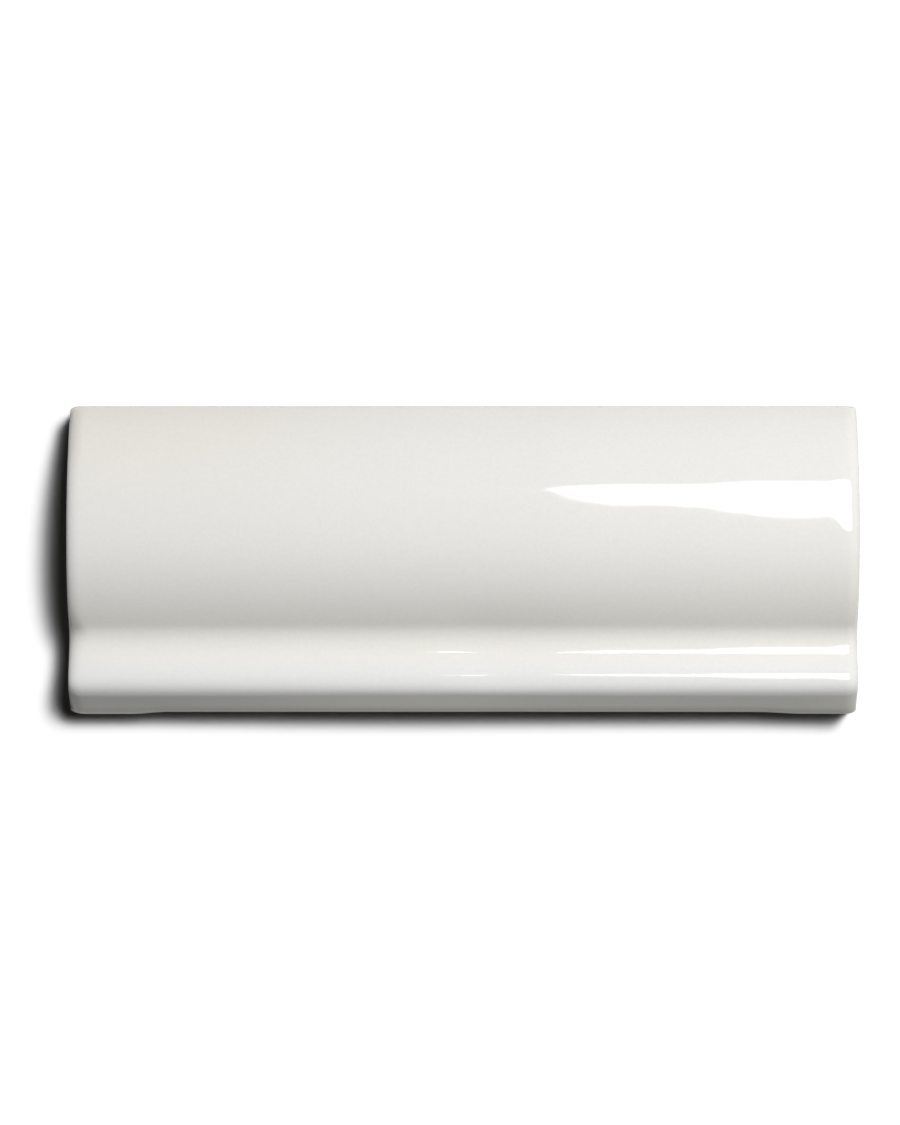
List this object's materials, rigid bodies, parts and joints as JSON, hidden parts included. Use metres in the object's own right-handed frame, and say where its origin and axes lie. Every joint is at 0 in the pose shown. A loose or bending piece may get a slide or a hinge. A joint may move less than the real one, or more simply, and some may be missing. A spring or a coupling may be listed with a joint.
{
  "type": "chair rail tile",
  "caption": "Glazed ceramic wall trim tile, straight length: a broad rounded roll, a cove and a small bead over a sloped skirt, flat on the back, for a chair rail course.",
  "frame": {"origin": "centre of the flat back face, which is the lowest face as the tile lies", "axes": "+X along the length, +Y towards the edge that is uppermost on the wall, +Z out of the wall through the face"},
  "size_m": [0.1524, 0.06, 0.02],
  "materials": {
    "glaze": "gloss off-white glaze, slightly warm, over a pale fired body; the back is left unglazed"
  },
  "bodies": {
    "root": {"chair_rail_tile": "glaze"}
  },
  "joints": []
}
